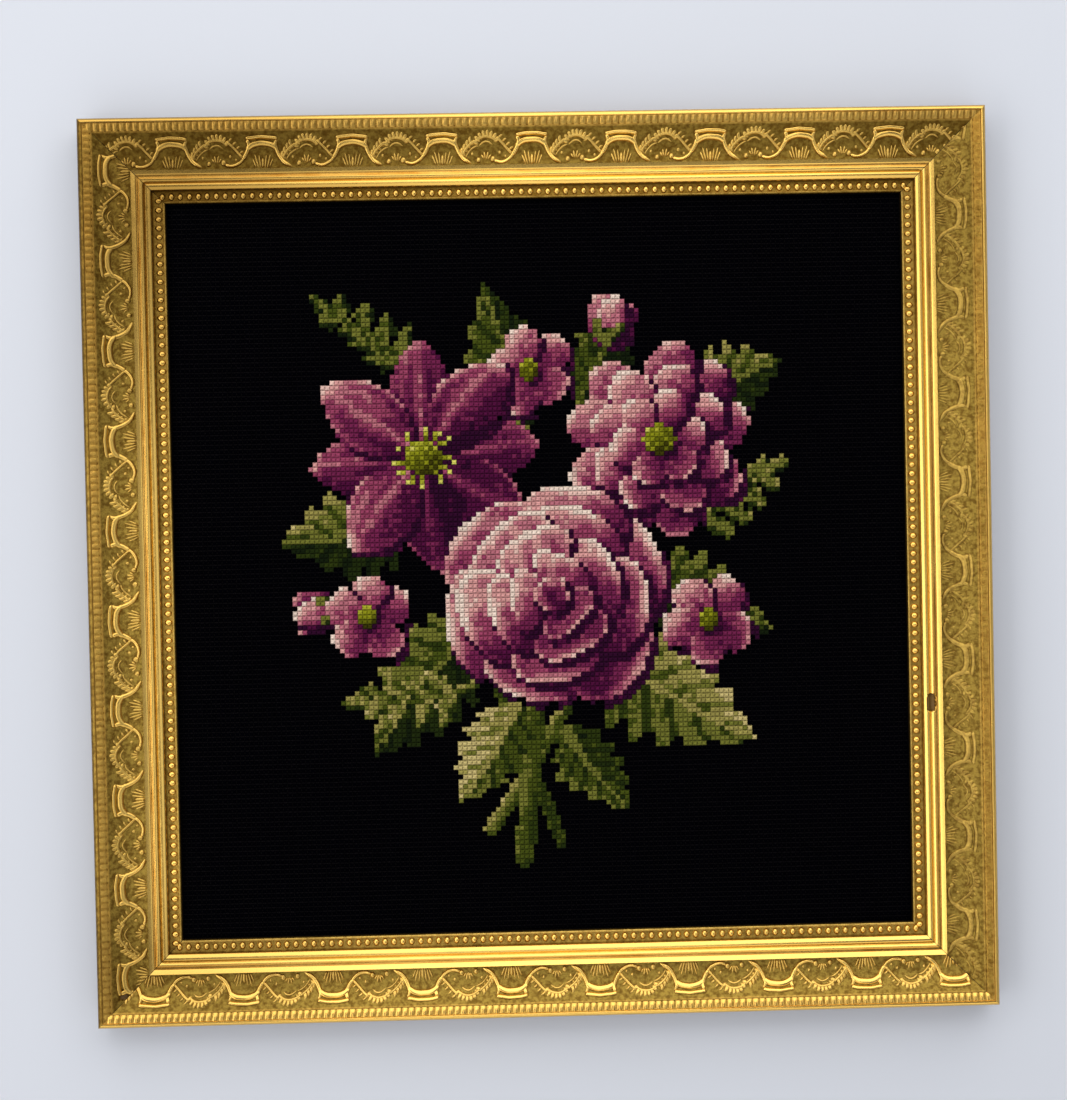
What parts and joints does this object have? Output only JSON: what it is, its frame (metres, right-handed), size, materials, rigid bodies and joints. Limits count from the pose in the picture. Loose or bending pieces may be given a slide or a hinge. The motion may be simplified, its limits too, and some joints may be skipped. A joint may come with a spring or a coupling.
{
  "type": "needlepoint canvas panel in gilt picture frame",
  "caption": "Square wool needlepoint with a flower bouquet on a black ground, held in the rebate of a mitred, moulded gilt picture frame.",
  "frame": {"origin": "centre of the frame's back, on the surface that it lies on", "axes": "+X to the right of the picture, +Y to its top edge, +Z out of its face"},
  "size_m": [0.4826, 0.4826, 0.0217],
  "materials": {
    "stitched_wool": "matt wool cross stitch on cotton canvas, black ground with rose, plum and olive flowers",
    "gilt_moulding": "gilded gesso over wood, satin, rubbed to brown in the hollows"
  },
  "bodies": {
    "root": {"needlepoint_canvas": "stitched_wool", "rail_top": "gilt_moulding", "rail_bottom": "gilt_moulding", "rail_left": "gilt_moulding", "rail_right": "gilt_moulding"}
  },
  "joints": []
}
